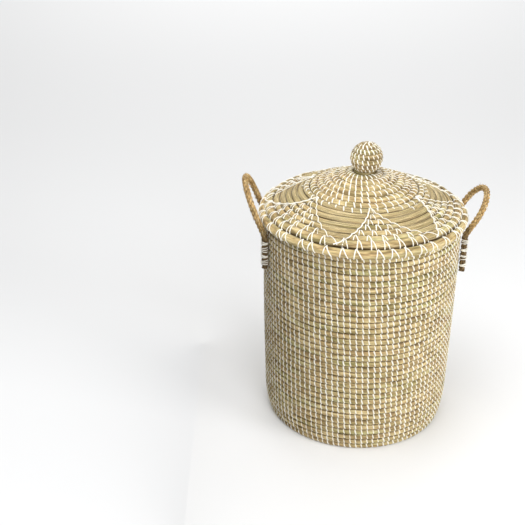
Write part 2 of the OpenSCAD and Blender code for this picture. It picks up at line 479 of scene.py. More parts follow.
class StitchMaker(NodeMaker):
    """Lays one bowed thread on each guide point.

    Points carry "run" (from one end of the stitch to the other), "lift" (away from the coil)
    and "size" (half the run, the bow's height, half the thread's width).
    """

    name = "thread_stitches"

    def extra_sockets(self) -> None:
        """Adds the thread's shape and its unevenness."""
        self.socket("Bends", "NodeSocketInt", 6)
        self.socket("Sides", "NodeSocketInt", 5)
        self.socket("Turn Jitter", "NodeSocketFloat", 0.05)
        self.socket("Size Jitter", "NodeSocketFloat", 0.08)
        self.socket("Seed", "NodeSocketInt", 1)

    def uneven(self, middle: float, width: str) -> bpy.types.NodeSocket:
        """A random number for each stitch, up to a named input away from a middle."""
        inputs = self.source.outputs
        least, most = (
            self.node("ShaderNodeMath", {0: middle, 1: inputs[width]}, operation=operation).outputs["Value"]
            for operation in ("SUBTRACT", "ADD")
        )
        pick = self.node(
            "FunctionNodeRandomValue", {2: least, 3: most, "Seed": inputs["Seed"]}, data_type="FLOAT"
        )
        return pick.outputs[1]

    def wire(self) -> None:
        """Bows a unit thread and puts it on the points."""
        profile_radius = 0.11
        hidden_end = math.radians(10)
        inputs = self.source.outputs
        arc = self.node(
            "GeometryNodeCurveArc",
            {
                "Resolution": inputs["Bends"],
                "Radius": 1.0,
                "Start Angle": hidden_end,
                "Sweep Angle": math.pi - 2 * hidden_end,
            },
            mode="RADIUS",
        )
        ring = self.node(
            "GeometryNodeCurvePrimitiveCircle", {"Resolution": inputs["Sides"], "Radius": profile_radius}
        )
        thread = self.node(
            "GeometryNodeCurveToMesh",
            {"Curve": arc.outputs["Curve"], "Profile Curve": ring.outputs["Curve"], "Fill Caps": True},
        )
        run = self.named("run", "FLOAT_VECTOR")
        lift = self.named("lift", "FLOAT_VECTOR")
        facing = self.node(
            "FunctionNodeAxesToRotation",
            {"Primary Axis": run, "Secondary Axis": lift},
            primary_axis="X",
            secondary_axis="Y",
        )
        twist = self.node(
            "FunctionNodeAxisAngleToRotation", {"Axis": (0, 1, 0), "Angle": self.uneven(0.0, "Turn Jitter")}
        )
        turned = self.node(
            "FunctionNodeRotateRotation",
            {"Rotation": facing.outputs["Rotation"], "Rotate By": twist.outputs["Rotation"]},
            rotation_space="LOCAL",
        )
        unit = self.node(
            "ShaderNodeVectorMath",
            {0: self.named("size", "FLOAT_VECTOR"), 1: (1.0, 1.0, 1.0 / profile_radius)},
            operation="MULTIPLY",
        )
        scale = self.node(
            "ShaderNodeVectorMath",
            {0: unit.outputs["Vector"], "Scale": self.uneven(1.0, "Size Jitter")},
            operation="SCALE",
        )
        laid = self.node(
            "GeometryNodeInstanceOnPoints",
            {
                "Points": inputs["Geometry"],
                "Instance": thread.outputs["Mesh"],
                "Rotation": turned.outputs["Rotation"],
                "Scale": scale.outputs["Vector"],
            },
        )
        self.finish(laid.outputs["Instances"])


class StrandMaker(NodeMaker):
    """Sweeps a round strand along each guide line.

    Points carry "thick" (the strand's radius), "tone" (0 to 1, different for each strand) and
    a painted-shade value (0 to 1, how much painted shade darkens the strand).
    """

    name = "swept_strands"

    def extra_sockets(self) -> None:
        """Adds the number of sides."""
        self.socket("Sides", "NodeSocketInt", 5)

    def wire(self) -> None:
        """Sweeps the strands and keeps where each face lies along and round them."""
        inputs = self.source.outputs
        line = self.node("GeometryNodeMeshToCurve", {"Mesh": inputs["Geometry"]})
        place = self.node("GeometryNodeSplineParameter")
        measured = self.store(line.outputs["Curve"], "along", place.outputs["Length"])
        ring = self.node("GeometryNodeCurvePrimitiveCircle", {"Resolution": inputs["Sides"], "Radius": 1.0})
        turned = self.store(ring.outputs["Curve"], "around", place.outputs["Factor"])
        swept = self.node(
            "GeometryNodeCurveToMesh",
            {
                "Curve": measured,
                "Profile Curve": turned,
                "Scale": self.named("thick", "FLOAT"),
                "Fill Caps": True,
            },
        )
        parts = {axis: self.named(name, "FLOAT") for axis, name in zip("XYZ", ("along", "around", "tone"))}
        where = self.node("ShaderNodeCombineXYZ", parts)
        marked = self.store(swept.outputs["Mesh"], "strand", where.outputs["Vector"], "FLOAT_VECTOR")
        self.finish(marked)

    def store(
        self, geometry: bpy.types.NodeSocket, name: str, value: bpy.types.NodeSocket, kind: str = "FLOAT"
    ) -> bpy.types.NodeSocket:
        """Stores a value on the points of a geometry as a named attribute."""
        values = {"Geometry": geometry, "Name": name, "Value": value}
        node = self.node("GeometryNodeStoreNamedAttribute", values, data_type=kind, domain="POINT")
        return node.outputs["Geometry"]


def set_attribute(mesh: bpy.types.Mesh, name: str, kind: str, domain: str, values: np.ndarray) -> None:
    """Stores an attribute on a mesh.

    Args:
        mesh: the mesh.
        name: the attribute's name.
        kind: FLOAT or FLOAT_VECTOR.
        domain: POINT or CORNER.
        values: one value or vector for each element.
    """
    layer = mesh.attributes.new(name, kind, domain)
    flat = np.ascontiguousarray(values, np.float32).ravel()
    layer.data.foreach_set("value" if kind == "FLOAT" else "vector", flat)


@dataclass
class Stitches:
    """Guide points for a StitchMaker."""

    places: list = field(default_factory=list)
    runs: list = field(default_factory=list)
    lifts: list = field(default_factory=list)
    sizes: list = field(default_factory=list)

    def add(
        self, starts: np.ndarray, ends: np.ndarray, lifts: np.ndarray, bow: float, half: float
    ) -> None:
        """Adds stitches.

        Args:
            starts: one end of each.
            ends: the other end of each.
            lifts: unit directions away from the coil.
            bow: height of the bows above the line between their ends.
            half: half the thread's width.
        """
        runs = ends - starts
        lengths = np.linalg.norm(runs, axis=1)
        self.places.append((starts + ends) / 2)
        self.runs.append(runs)
        self.lifts.append(lifts)
        bows = np.broadcast_to(bow, lengths.shape)
        self.sizes.append(np.stack([lengths / 2, bows, np.full_like(lengths, half)], 1))

    def guide(self, name: str) -> bpy.types.Mesh:
        """Mesh of points that holds the stitches."""
        mesh = bpy.data.meshes.new(name)
        places = np.concatenate(self.places)
        mesh.from_pydata(places.tolist(), [], [])
        for key, values in (("run", self.runs), ("lift", self.lifts), ("size", self.sizes)):
            set_attribute(mesh, key, "FLOAT_VECTOR", "POINT", np.concatenate(values))
        return mesh


@dataclass
class Strands:
    """Guide lines for a StrandMaker."""

    lines: list = field(default_factory=list)
    thicks: list = field(default_factory=list)
    tones: list = field(default_factory=list)
    painted_shades: list = field(default_factory=list)

    def add(
        self, points: np.ndarray, thick: float | np.ndarray, tone: float, seam: float | np.ndarray = 0.0
    ) -> None:
        """Adds one strand.

        Args:
            points: the strand's line.
            thick: its radius, one for all points or one for each.
            tone: 0 to 1, picks its hue.
            seam: 0 to 1, how much painted shade darkens it, one for all points or one for each.
        """
        self.lines.append(np.asarray(points))
        self.thicks.append(np.broadcast_to(thick, len(points)))
        self.tones.append(np.full(len(points), tone))
        self.painted_shades.append(np.broadcast_to(seam, len(points)))

    def guide(self, name: str) -> bpy.types.Mesh:
        """Mesh of open lines that holds the strands."""
        mesh = bpy.data.meshes.new(name)
        edges = []
        first = 0
        for line in self.lines:
            edges.extend((first + i, first + i + 1) for i in range(len(line) - 1))
            first += len(line)
        mesh.from_pydata(np.concatenate(self.lines).tolist(), edges, [])
        for key, values in (("thick", self.thicks), ("tone", self.tones), ("seam", self.painted_shades)):
            set_attribute(mesh, key, "FLOAT", "POINT", np.concatenate(values))
        return mesh


# ---------------------------------------------------------------- coiled rows


@dataclass(frozen=True)
class HandWork:
    """How a coil made by hand wanders: slow waves that neighbouring rows share."""

    swell: float = 1.2 * MM
    dip: float = 1.6 * MM
    low: float = 0.0
    high: float = 1.0

    def shift(self, theta: np.ndarray, height: float) -> tuple[np.ndarray, np.ndarray]:
        """How far a row is moved outwards and upwards at each angle.

        Args:
            theta: angles round the basket.
            height: the row's height.

        Returns:
            The two moves, in metres.
        """
        level = (height - self.low) / (self.high - self.low)
        fade = max(0.0, math.sin(math.pi * min(max(level, 0.0), 1.0))) ** 0.6
        out = 0.6 * np.sin(2 * theta + 0.6 + 2.5 * level) + 0.4 * np.sin(3 * theta + 2.0 - 4 * level)
        up = 0.5 * np.sin(3 * theta + 5.5 * level) + 0.35 * np.sin(5 * theta + 1.0 - 8 * level)
        up = up + 0.15 * np.sin(11 * theta + 13 * level)
        return self.swell * fade * out, self.dip * fade * up


@dataclass
class Row:
    """One turn of coil: a ring of seagrass bundle, pinched where thread crosses it.

    The section stands on a centre circle. Its outer side faces along the tilt, an angle above
    the horizontal, and its width lies across that, towards the next row. "stitches" are angles,
    "pinch" and "grip" the depth and the reach of the waist at each, "aside" shifts the ring along
    X, "gloom" sets how much painted shade darkens the row's edges and "dusk" is the least painted
    shade anywhere on it.
    """

    radius: float
    height: float
    tilt: float
    half_width: float
    half_thick: float
    stitches: np.ndarray
    start: float = 0.0
    tone: float = 0.5
    slant: float = 0.0
    pinch: float = 0.16
    grip: float = 1.7 * MM
    fullness: float = 2.8
    outside: int = 8
    inside: int = 5
    step: float = 2.9 * MM
    hand: HandWork = HandWork(0.0, 0.0)
    aside: float = 0.0
    gloom: float = 1.0
    dusk: float = 0.0

    def place(self, theta: np.ndarray, across: np.ndarray, out: np.ndarray) -> np.ndarray:
        """Points in space for angles, places across the row and distances out of its centre."""
        swell, rise = self.hand.shift(theta, self.height)
        cos_t = math.cos(self.tilt)
        sin_t = math.sin(self.tilt)
        reach = self.radius + swell + cos_t * out - sin_t * across
        level = self.height + rise + sin_t * out + cos_t * across
        return np.stack([reach * np.cos(theta) + self.aside, reach * np.sin(theta), level + 0 * reach], -1)

    def facing(self, theta: np.ndarray, turn: float = 0.0) -> np.ndarray:
        """Unit directions out of the row, turned across it by an angle."""
        angle = self.tilt + turn
        flat = np.full_like(theta, math.sin(angle))
        return np.stack([math.cos(angle) * np.cos(theta), math.cos(angle) * np.sin(theta), flat], -1)

    def angles(self) -> tuple[np.ndarray, np.ndarray]:
        """Angles of the mesh's rings and how far each lies from the nearest stitch, in metres."""
        marks = np.sort(np.mod(self.stitches, TAU))
        if len(marks) < 3:
            count = max(16, round(TAU * self.radius / self.step))
            return np.arange(count) * TAU / count, np.full(count, 1.0)
        gaps = np.diff(np.append(marks, marks[0] + TAU))
        thetas = []
        far = []
        for mark, gap in zip(marks, gaps):
            count = max(2, round(gap * self.radius / self.step))
            part = np.arange(count) / count
            thetas.append(mark + gap * part)
            far.append(np.minimum(part, 1 - part) * gap * self.radius)
        return np.concatenate(thetas), np.concatenate(far)

    def arrays(self) -> tuple[np.ndarray, np.ndarray, np.ndarray, np.ndarray]:
        """Mesh arrays of the row.

        Returns:
            Vertices, quads, a strand vector for each quad corner and a painted-shade value for each vertex.
        """
        theta, far = self.angles()
        grip = np.exp(-((far / self.grip) ** 2))[:, None]
        turn = np.concatenate(
            [
                np.linspace(-math.pi / 2, math.pi / 2, self.outside, endpoint=False),
                np.linspace(math.pi / 2, 3 * math.pi / 2, self.inside, endpoint=False),
            ]
        )[None, :]
        power = 2.0 / (self.fullness - (self.fullness - 2.05) * grip)
        sin_p = np.sin(turn)
        cos_p = np.cos(turn)
        across = self.half_width * np.sign(sin_p) * np.abs(sin_p) ** power
        out = self.half_thick * np.sign(cos_p) * np.abs(cos_p) ** power * (1 - self.pinch * grip)
        angle = theta[:, None] - math.tan(self.slant) * across / self.radius
        points = self.place(angle, across, out)
        rings = len(theta)
        sides = turn.shape[1]
        i = np.repeat(np.arange(rings), sides)
        j = np.tile(np.arange(sides), rings)
        i_next = (i + 1) % rings
        j_next = (j + 1) % sides
        quads = np.stack([i * sides + j, i_next * sides + j, i_next * sides + j_next, i * sides + j_next], 1)
        length = self.start + np.append(theta, theta[0] + TAU) * self.radius
        strand = np.empty((len(i), 4, 3))
        strand[:, 0, 0] = strand[:, 3, 0] = length[i]
        strand[:, 1, 0] = strand[:, 2, 0] = length[i + 1]
        strand[:, 0, 1] = strand[:, 1, 1] = j / sides
        strand[:, 2, 1] = strand[:, 3, 1] = (j + 1) / sides
        strand[:, :, 2] = self.tone
        # painted shade: darkest at the row's edges, where it meets the next row, and never less than the
        # dusk
        edge = self.gloom * np.abs(across) / self.half_width
        seam = np.broadcast_to(np.maximum(edge, self.dusk), (rings, sides))
        return points.reshape(-1, 3), quads, strand.reshape(-1, 3), seam.ravel()

    def sew(self, stitches: Stitches, half: float, inner: bool = False, proud: float = 0.7 * MM) -> None:
        """Adds a stitch over the row at each of its pinches.

        Args:
            stitches: the set that the stitches go to.
            half: half the thread's width.
            inner: sews over the row's inner side.
            proud: how far the thread's middle stands off the pinched bundle.
        """
        side = -1.0 if inner else 1.0
        theta = np.asarray(self.stitches)
        lean = math.tan(self.slant) * self.half_width / self.radius * side
        reach = self.half_width * 0.95
        top = self.place(theta - lean, reach, 0.0)
        foot = self.place(theta + lean, -reach, 0.0)
        bow = self.half_thick * (1 - (0.0 if inner else self.pinch)) + proud
        stitches.add(top, foot, side * self.facing(theta), bow, half)

    def leg(
        self,
        stitches: Stitches,
        theta: np.ndarray,
        high: float,
        low: float,
        half: float,
        proud: float = 1.0 * MM,
    ) -> None:
        """Adds slanted stitches over the row.

        Args:
            stitches: the set that the stitches go to.
            theta: angles of the stitches.
            high: angle from each to its end at the row's upper side.
            low: angle from each to its end at the row's lower side.
            half: half the thread's width.
            proud: how far the thread's middle stands off the bundle.
        """
        reach = self.half_width * 1.08
        top = self.place(theta + high, reach, 0.0)
        foot = self.place(theta + low, -reach, 0.0)
        bow = self.half_thick * (1 - 0.5 * self.pinch) + proud
        stitches.add(top, foot, self.facing(theta + (high + low) / 2), bow, half)


def coil_piece(name: str, rows: list[Row], finish: Finish) -> bpy.types.Object:
    """Joins rows into one piece.

    Args:
        name: the piece's name.
        rows: its rows.
        finish: its finish.

    Returns:
        The piece.
    """
    parts = [row.arrays() for row in rows]
    offsets = np.cumsum([0] + [len(part[0]) for part in parts])
    points = np.concatenate([part[0] for part in parts])
    quads = np.concatenate([part[1] + offset for part, offset in zip(parts, offsets)])
    mesh = bpy.data.meshes.new(name)
    mesh.vertices.add(len(points))
    mesh.vertices.foreach_set("co", points.astype(np.float32).ravel())
    mesh.loops.add(quads.size)
    mesh.loops.foreach_set("vertex_index", quads.astype(np.int32).ravel())
    mesh.polygons.add(len(quads))
    mesh.polygons.foreach_set("loop_start", np.arange(0, quads.size, 4, dtype=np.int32))
    mesh.polygons.foreach_set("use_smooth", np.ones(len(quads), bool))
    set_attribute(mesh, "strand", "FLOAT_VECTOR", "CORNER", np.concatenate([part[2] for part in parts]))
    # painted shade for each vertex, read by the seagrass material
    set_attribute(mesh, "seam", "FLOAT", "POINT", np.concatenate([part[3] for part in parts]))
    mesh.update(calc_edges=True)
    mesh.validate()
    mesh.materials.append(finish.material())
    return show(mesh, name)


# ---------------------------------------------------------------- the basket's body


@dataclass
class BasketBody:
    """The coiled base, heel, wall and mouth, with the thread that sews them."""

    stitcher: StitchMaker
    columns: int = 102
    rows: int = 35
    heel_rows: int = 5
    thread_half: float = 1.35 * MM
    stitch_lean: float = math.radians(15)
    drift: float = math.radians(5)
    base_gap: float = 11 * MM
    proud: float = 0.7 * MM
    under_proud: float = 0.1 * MM
    seed: int = 7

    def __post_init__(self) -> None:
        """Reads the body's sizes from the frame."""
        self.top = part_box("mouth_coil")[1][2]
        self.pitch = self.top / self.rows
        self.half = self.pitch / 2
        self.base_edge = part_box("base_coil")[1][0]
        self.start_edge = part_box("base_start_coil")[1][0]
        self.shell = np.concatenate([node_points(name) for name in ("heel_coil", "wall_coil", "mouth_coil")])
        self.random = np.random.default_rng(self.seed)

    def centre(self, height: float) -> float:
        """Radius of a wall row's centre line."""
        return crest_radius(self.shell, height, 0.35 * self.pitch) - self.half

    def wall_rows(self) -> list[Row]:
        """Rows from the floor to the mouth."""
        hand = HandWork(low=self.pitch, high=self.top)
        made = []
        length = 0.0
        for i in range(self.rows):
            height = (i + 0.5) * self.pitch
            radius = self.centre(height)
            lower = self.centre(max(height - self.pitch, self.half))
            upper = self.centre(min(height + self.pitch, self.top - self.half))
            tilt = -math.atan2(upper - lower, 2 * self.pitch) if i < self.heel_rows else 0.0
            spread = self.random.normal(0, 0.035, self.columns) * TAU / self.columns
            turned = self.drift * (1 - height / self.top)
            marks = (np.arange(self.columns) + 0.2) * TAU / self.columns + turned + spread
            made.append(
                Row(
                    radius=radius,
                    height=height,
                    tilt=tilt,
                    half_width=self.half * (1.07 if i else 0.99),
                    half_thick=self.half,
                    stitches=marks,
                    start=length,
                    tone=float(self.random.random()),
                    slant=self.stitch_lean,
                    hand=hand,
                )
            )
            length += TAU * radius
        return made

    def base_rows(self, outer: float) -> list[Row]:
        """Flat rows of the base, from the heel's first row in to the start coil."""
        made = []
        radius = outer - 2 * self.half
        while radius > self.half:
            count = max(5, round(TAU * radius / self.base_gap))
            marks = (np.arange(count) + self.random.random()) * TAU / count
            made.append(
                Row(
                    radius=radius,
                    height=self.half,
                    tilt=-math.pi / 2,
                    half_width=self.half * 1.05,
                    half_thick=self.half * 0.99,
                    stitches=marks,
                    start=radius * 9,
                    tone=float(self.random.random()),
                    slant=self.stitch_lean,
                    outside=5,
                    inside=5,
                    step=3.7 * MM,
                )
            )
            radius -= 2 * self.half
        return made

    def build(self) -> None:
        """Builds and places every piece of the body."""
        wall = self.wall_rows()
        middle = (self.heel_rows + self.rows - 1) // 2
        last = self.rows - 1
        bands = {
            "heel_rows": (wall[: self.heel_rows], ["heel_coil"]),
            "wall_rows_lower": (wall[self.heel_rows : middle], ["wall_coil"]),
            "wall_rows_upper": (wall[middle:last], ["wall_coil"]),
            "mouth_row": (wall[last:], ["mouth_coil"]),
        }
        for name, (rows, nodes) in bands.items():
            settle(coil_piece(name, rows, Finish.COIL), "basket", "seagrass_coil", *nodes)
        base = self.base_rows(wall[0].radius)
        starts = [row for row in base if row.radius < self.start_edge]
        flats = [row for row in base if row.radius >= self.start_edge]
        settle(coil_piece("base_rows", flats, Finish.COIL), "basket", "seagrass_coil", "base_coil")
        start = coil_piece("base_start_rows", starts, Finish.COIL)
        settle(start, "basket", "seagrass_coil", "base_start_coil")
        self.sew("wall_threads_lower", wall[:middle], 6, 5, False, "wall_stitching")
        self.sew("wall_threads_upper", wall[middle:], 6, 5, False, "wall_stitching")
        self.sew("wall_threads_inside", wall[1:], 4, 4, True, "wall_stitching")
        self.sew("base_threads_inside", base, 4, 4, True, "base_stitching")
        self.sew("base_threads_under", base, 4, 4, False, "base_stitching")

    def sew(self, name: str, rows: list[Row], bends: int, sides: int, inner: bool, node: str) -> None:
        """Makes the thread over one set of rows."""
        stitches = Stitches()
        for row in rows:
            under = row.tilt < -1 and not inner
            row.sew(stitches, self.thread_half, inner, self.under_proud if under else self.proud)
        guide = stitches.guide(name)
        piece = self.stitcher.make(name, guide, Finish.THREAD, Bends=bends, Sides=sides, Seed=self.seed)
        settle(piece, "basket", "white_thread", node)


# ---------------------------------------------------------------- the lid


@dataclass
class Lid:
    """The coned lid: rim coil, field with bare petals and stitched wedges, crown, locating coil."""

    stitcher: StitchMaker
    strander: StrandMaker
    field_rows: int = 7
    crown_rows: int = 6
    crown_columns: int = 44
    rim_stitches: int = 42
    star_points: int = 6
    star_turn: float = math.radians(30)
    wedge_back: float = math.radians(19)
    wedge_ahead: float = math.radians(37)
    wedge_bend: float = 1.35
    petal_sway: tuple = (2, -3, -15, 0, 0, -5)
    pair_gap: float = 24 * MM
    pair_splay: float = 8 * MM
    thread_half: float = 1.15 * MM
    crown_thread_half: float = 1.2 * MM
    crown_slant: float = math.radians(16)
    overrun: tuple = (5 * MM, 16 * MM)
    overrun_right: float = 10 * MM
    strands_per_row: int = 18
    # share of petal strands darkened at random with painted shade, standing in for shaded crevices, and how
    # dark they get
    dim_strands: float = 0.17
    dim_strand_shade: float = 0.72
    nestle: float = 5.4 * MM
    nestle_fade: float = 1.1
    knob_sink: float = 2.2 * MM
    # painted shade: the least over the field and the rim, over the crown, over the sunk row under the knob,
    # and on the crown rows' edges
    field_dusk: float = 0.6
    crown_dusk: float = 0.65
    sunk_dusk: float = 0.76
    crown_gloom: float = 0.8
    seed: int = 11

    def __post_init__(self) -> None:
        """Reads the lid's sizes from the frame."""
        low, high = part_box("lid_rim_coil")
        self.rim_thick = (high[2] - low[2]) / 2
        self.rim_height = (high[2] + low[2]) / 2
        self.rim_radius = high[0] - self.rim_thick
        self.field_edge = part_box("lid_field_coil")[1][0]
        self.crown_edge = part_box("lid_crown_coil")[1][0]
        self.start_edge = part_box("lid_start_coil")[1][0]
        self.profile = self.top_profile("lid_field_coil", "lid_crown_coil")
        self.half_thick = (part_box("mouth_coil")[1][2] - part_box("mouth_coil")[0][2]) / 2
        self.hand = HandWork(0.5 * MM, 0.9 * MM, self.rim_height, self.level(self.start_edge))
        self.random = np.random.default_rng(self.seed)

    @staticmethod
    def top_profile(*names: str) -> np.ndarray:
        """Radius and highest level of turned nodes, as two rows sorted by radius."""
        points = np.concatenate([node_points(name) for name in names])
        reach = np.round(np.hypot(points[:, 0], points[:, 1]), 4)
        radii = np.unique(reach)
        levels = np.array([points[reach == radius, 2].max() for radius in radii])
        return np.stack([radii, levels])

    def level(self, radius: float) -> float:
        """Height of the lid's upper face at a radius."""
        return float(np.interp(radius, self.profile[0], self.profile[1]))

    def wedge(self, radius: float, point: int) -> tuple[float, float]:
        """Angles between which a star wedge lies at a radius."""
        share = (radius - self.crown_edge) / (self.field_edge - self.crown_edge)
        tip = self.star_turn + point * TAU / self.star_points
        before = math.radians(self.petal_sway[(point - 1) % self.star_points])
        after = math.radians(self.petal_sway[point % self.star_points])
        low = tip - self.wedge_back * max(share, 0.0) ** self.wedge_bend + before * share
        return low, tip + (self.wedge_ahead + after) * share

    def cone_rows(self) -> list[Row]:
        """Rows of the cone from the rim to the knob, not yet stitched.

        The outer rows sit a little proud, where the coil climbs off the thick rim, and the
        innermost row is sunk where the knob's neck pulls it down and gets more painted shade,
        standing in for the knob's shadow. Every row gets painted shade on its edges and over its face.
        """
        last = self.field_rows + self.crown_rows - 1
        made = []
        bands = (
            (self.field_edge, self.crown_edge, self.field_rows),
            (self.crown_edge, self.start_edge, self.crown_rows),
        )
        for outer, inner, count in bands:
            step = (outer - inner) / count
            for i in range(count):
                reach = outer - (i + 0.5) * step
                slope = math.atan2(self.level(reach - step / 2) - self.level(reach + step / 2), step)
                tilt = math.pi / 2 - slope
                in_field = len(made) < self.field_rows
                innermost = len(made) == last
                proud = self.nestle * math.exp(-len(made) / self.nestle_fade)
                sunk = self.knob_sink if innermost else 0.0
                crown_dusk = self.sunk_dusk if innermost else self.crown_dusk
                made.append(
                    Row(
                        radius=reach - math.cos(tilt) * self.half_thick + proud,
                        height=self.level(reach) - math.sin(tilt) * self.half_thick + 0.4 * proud - sunk,
                        tilt=tilt,
                        half_width=step / 2 / math.cos(slope) * 1.05 + 0.45 * proud,
                        half_thick=self.half_thick,
                        stitches=np.array([]),
                        start=len(made) * 1.13,
                        tone=float(self.random.random()),
                        grip=1.5 * MM,
                        fullness=2.5,
                        hand=self.hand,
                        # painted shade on the row's edges and over its face
                        gloom=1.0 if in_field else self.crown_gloom,
                        dusk=self.field_dusk if in_field else crown_dusk,
                    )
                )
        return made

    def wedge_marks(self, row: Row) -> np.ndarray:
        """Angles of the pairs of stitches on a field row, about one gap apart in each wedge."""
        marks = []
        for point in range(self.star_points):
            low, high = self.wedge(row.radius, point)
            count = max(1, round((high - low) * row.radius / self.pair_gap + 0.5))
            marks.extend(low + (np.arange(count) + 0.35) * (high - low) / count)
        return np.array(marks) + self.random.normal(0, 0.008, len(marks))

    def build(self) -> None:
        """Builds and places every piece of the lid except the knob."""
        rows = self.cone_rows()
        outer = rows[: self.field_rows]
        crown = rows[self.field_rows :]
        star = Stitches()
        for row in outer:
            row.stitches = self.wedge_marks(row)
            splay = self.pair_splay / row.radius
            row.leg(star, row.stitches, 0.0, -0.1 * splay, self.thread_half * 0.9)
            row.leg(star, row.stitches, 0.12 * splay, splay, self.thread_half * 0.85)
        rays = Stitches()
        for row in crown:
            columns = self.columns(row)
            row.stitches = columns + self.random.normal(0, 0.006, len(columns))
            row.slant = self.crown_slant
            row.sew(rays, self.crown_thread_half)
        self.ragged(rays, outer, self.columns(crown[0]))
        settle(coil_piece("lid_field_rows", outer, Finish.COIL), "lid", "bare_seagrass", "lid_field_coil")
        settle(coil_piece("lid_crown_rows", crown, Finish.COIL), "lid", "seagrass_coil", "lid_crown_coil")
        self.place_threads("lid_star_threads", star, "lid_star_stitching")
        self.place_threads("lid_crown_threads", rays, "lid_crown_stitching")
        self.rim()
        self.petals(outer)
        self.outlines(outer)
        self.underside(rows)
        self.locating()
        self.start()

    def columns(self, row: Row) -> np.ndarray:
        """Angles of the crown's stitches on a row, fewer near the knob, one always at the front."""
        least = 12
        more_per_metre = 400.0
        count = min(self.crown_columns, round(least + more_per_metre * row.radius))
        return np.arange(count) * TAU / count - TAU / 4

    def place_threads(self, name: str, stitches: Stitches, *nodes: str) -> None:
        """Makes a set of stitches as a piece of the lid."""
        guide = stitches.guide(name)
        piece = self.stitcher.make(name, guide, Finish.THREAD, Bends=7, Sides=5, Seed=self.seed)
        settle(piece, "lid", "white_thread", *nodes)

    def on_petal(self, radius: float, angle: float) -> bool:
        """Whether an angle lies on bare seagrass at a radius."""
        for point in range(self.star_points):
            start = self.wedge(radius, point)[1]
            end = self.wedge(radius, point + 1)[0]
            if (angle - start) % TAU < end - start:
                return True
        return False

    def ragged(self, rays: Stitches, outer: list[Row], columns: np.ndarray) -> None:
        """Lets the crown's columns run out on to the petals by uneven lengths."""
        for angle in columns:
            left = self.random.uniform(*self.overrun) + self.overrun_right * max(0.0, math.cos(angle))
            theta = np.array([angle])
            for row in reversed(outer):
                width = 2 * row.half_width
                part = min(1.0, left / width)
                if part < 0.25 or not self.on_petal(row.radius, angle):
                    break
                lean = math.tan(self.crown_slant) * row.half_width / row.radius
                top = row.place(theta - lean, row.half_width, 0.0)
                foot = row.place(theta + lean * (2 * part - 1), row.half_width * (1 - 2 * part), 0.0)
                rays.add(top, foot, row.facing(theta), row.half_thick + 1.8 * MM, self.crown_thread_half)
                theta = theta + 2 * lean
                left -= width

    def rim(self) -> None:
        """Makes the thick rim coil with its pairs of splayed stitches."""
        gap = TAU / self.rim_stitches
        marks = self.star_turn - self.wedge_back + (np.arange(self.rim_stitches) + 0.35) * gap
        row = Row(
            radius=self.rim_radius,
            height=self.rim_height,
            tilt=math.radians(28),
            half_width=self.rim_thick * 0.96,
            half_thick=self.rim_thick * 0.97,
            stitches=marks + self.random.normal(0, 0.018, self.rim_stitches),
            start=17.0,
            pinch=0.07,
            grip=2.2 * MM,
            fullness=2.2,
            outside=12,
            inside=6,
            # painted shade: light on the rim's edges, with the field's least painted shade over it
            gloom=0.5,
            dusk=self.field_dusk,
        )
        settle(coil_piece("lid_rim_row", [row], Finish.COIL), "lid", "seagrass_coil", "lid_rim_coil")
        pairs = Stitches()
        row.leg(pairs, row.stitches, 0.0, -0.08 * gap, self.thread_half)
        row.leg(pairs, row.stitches, 0.06 * gap, 0.42 * gap, self.thread_half * 0.95)
        self.place_threads("lid_rim_threads", pairs, "lid_rim_stitching")

    def petals(self, outer: list[Row]) -> None:
        """Lays the long unstitched strands that fill the bare petals."""
        strands = Strands()
        for row in outer:
            for point in range(self.star_points):
                start = self.wedge(row.radius, point)[1]
                end = self.wedge(row.radius, point + 1)[0]
                for _ in range(self.strands_per_row):
                    self.strand(strands, row, start, end)
        name = "lid_petal_strands"
        piece = self.strander.make(name, strands.guide(name), Finish.BARE, Sides=5)
        settle(piece, "lid", "bare_seagrass")

    def strand(self, strands: Strands, row: Row, start: float, end: float) -> None:
        """Adds one strand on a field row between two angles."""
        slack = self.random.uniform(-0.5, 2.0, 2) * math.radians(3)
        first = start - slack[0]
        last = end + slack[1]
        count = max(4, int((last - first) * row.radius / (5 * MM)))
        theta = np.linspace(first, last, count)
        seat = self.random.uniform(-1.0, 1.0)
        across = row.half_width * (seat + self.random.normal(0, 0.12) * np.linspace(-1, 1, count))
        share = np.clip(np.abs(across) / row.half_width, 0, 1)
        crest = np.maximum((1 - share**row.fullness) ** (1 / row.fullness), 0.76) * row.half_thick
        thick = self.random.uniform(0.45, 0.85) * MM
        ends = np.sin(np.linspace(0.12, math.pi - 0.12, count)) ** 0.35
        out = crest + (0.15 + self.random.uniform(-0.5, 0.35)) * MM
        # painted shade: a random share of strands darkened to stand in for shaded crevices, the rest darker
        # towards the row's edges
        tone, shadow = self.random.random(2)
        dim = self.dim_strand_shade if shadow < self.dim_strands else 0.0
        strands.add(row.place(theta, across, out), thick * ends, float(tone), np.maximum(0.95 * share, dim))

    def outlines(self, outer: list[Row]) -> None:
        """Runs the two threads that edge every petal down the rows, in steps, to the rim."""
        lines = Strands()
        # which edge of the wedge, how it eases along each row, the thread's radius
        sides = ((0, 2.6, 1.1 * MM), (1, 0.4, 0.8 * MM))
        for point in range(self.star_points):
            for edge, ease, thick in sides:
                points = []
                for row in reversed(outer):
                    run = math.sin(row.tilt) * row.half_width
                    crest = row.radius + row.half_thick * math.cos(row.tilt)
                    inner = self.wedge(crest - run, point)[edge]
                    reach = self.wedge(crest + run, point)[edge] - inner
                    for down in np.linspace(0.04, 0.96, 7):
                        across = 1 - 2 * down
                        angle = np.array(inner + reach * down**ease)
                        out = row.half_thick * (1 - 0.12 * abs(across) ** 2.5) + 0.7 * thick
                        points.append(row.place(angle, across * row.half_width, out))
                lines.add(np.array(points), thick, 0.5)
        name = "lid_star_outline"
        piece = self.strander.make(name, lines.guide(name), Finish.THREAD, Sides=6)
        settle(piece, "lid", "white_thread", "lid_star_stitching")

    def underside(self, rows: list[Row]) -> None:
        """Sews the lid's hidden face."""
        stitches = Stitches()
        for row in rows:
            row.sew(stitches, self.thread_half, inner=True)
        self.place_threads("lid_under_threads", stitches)

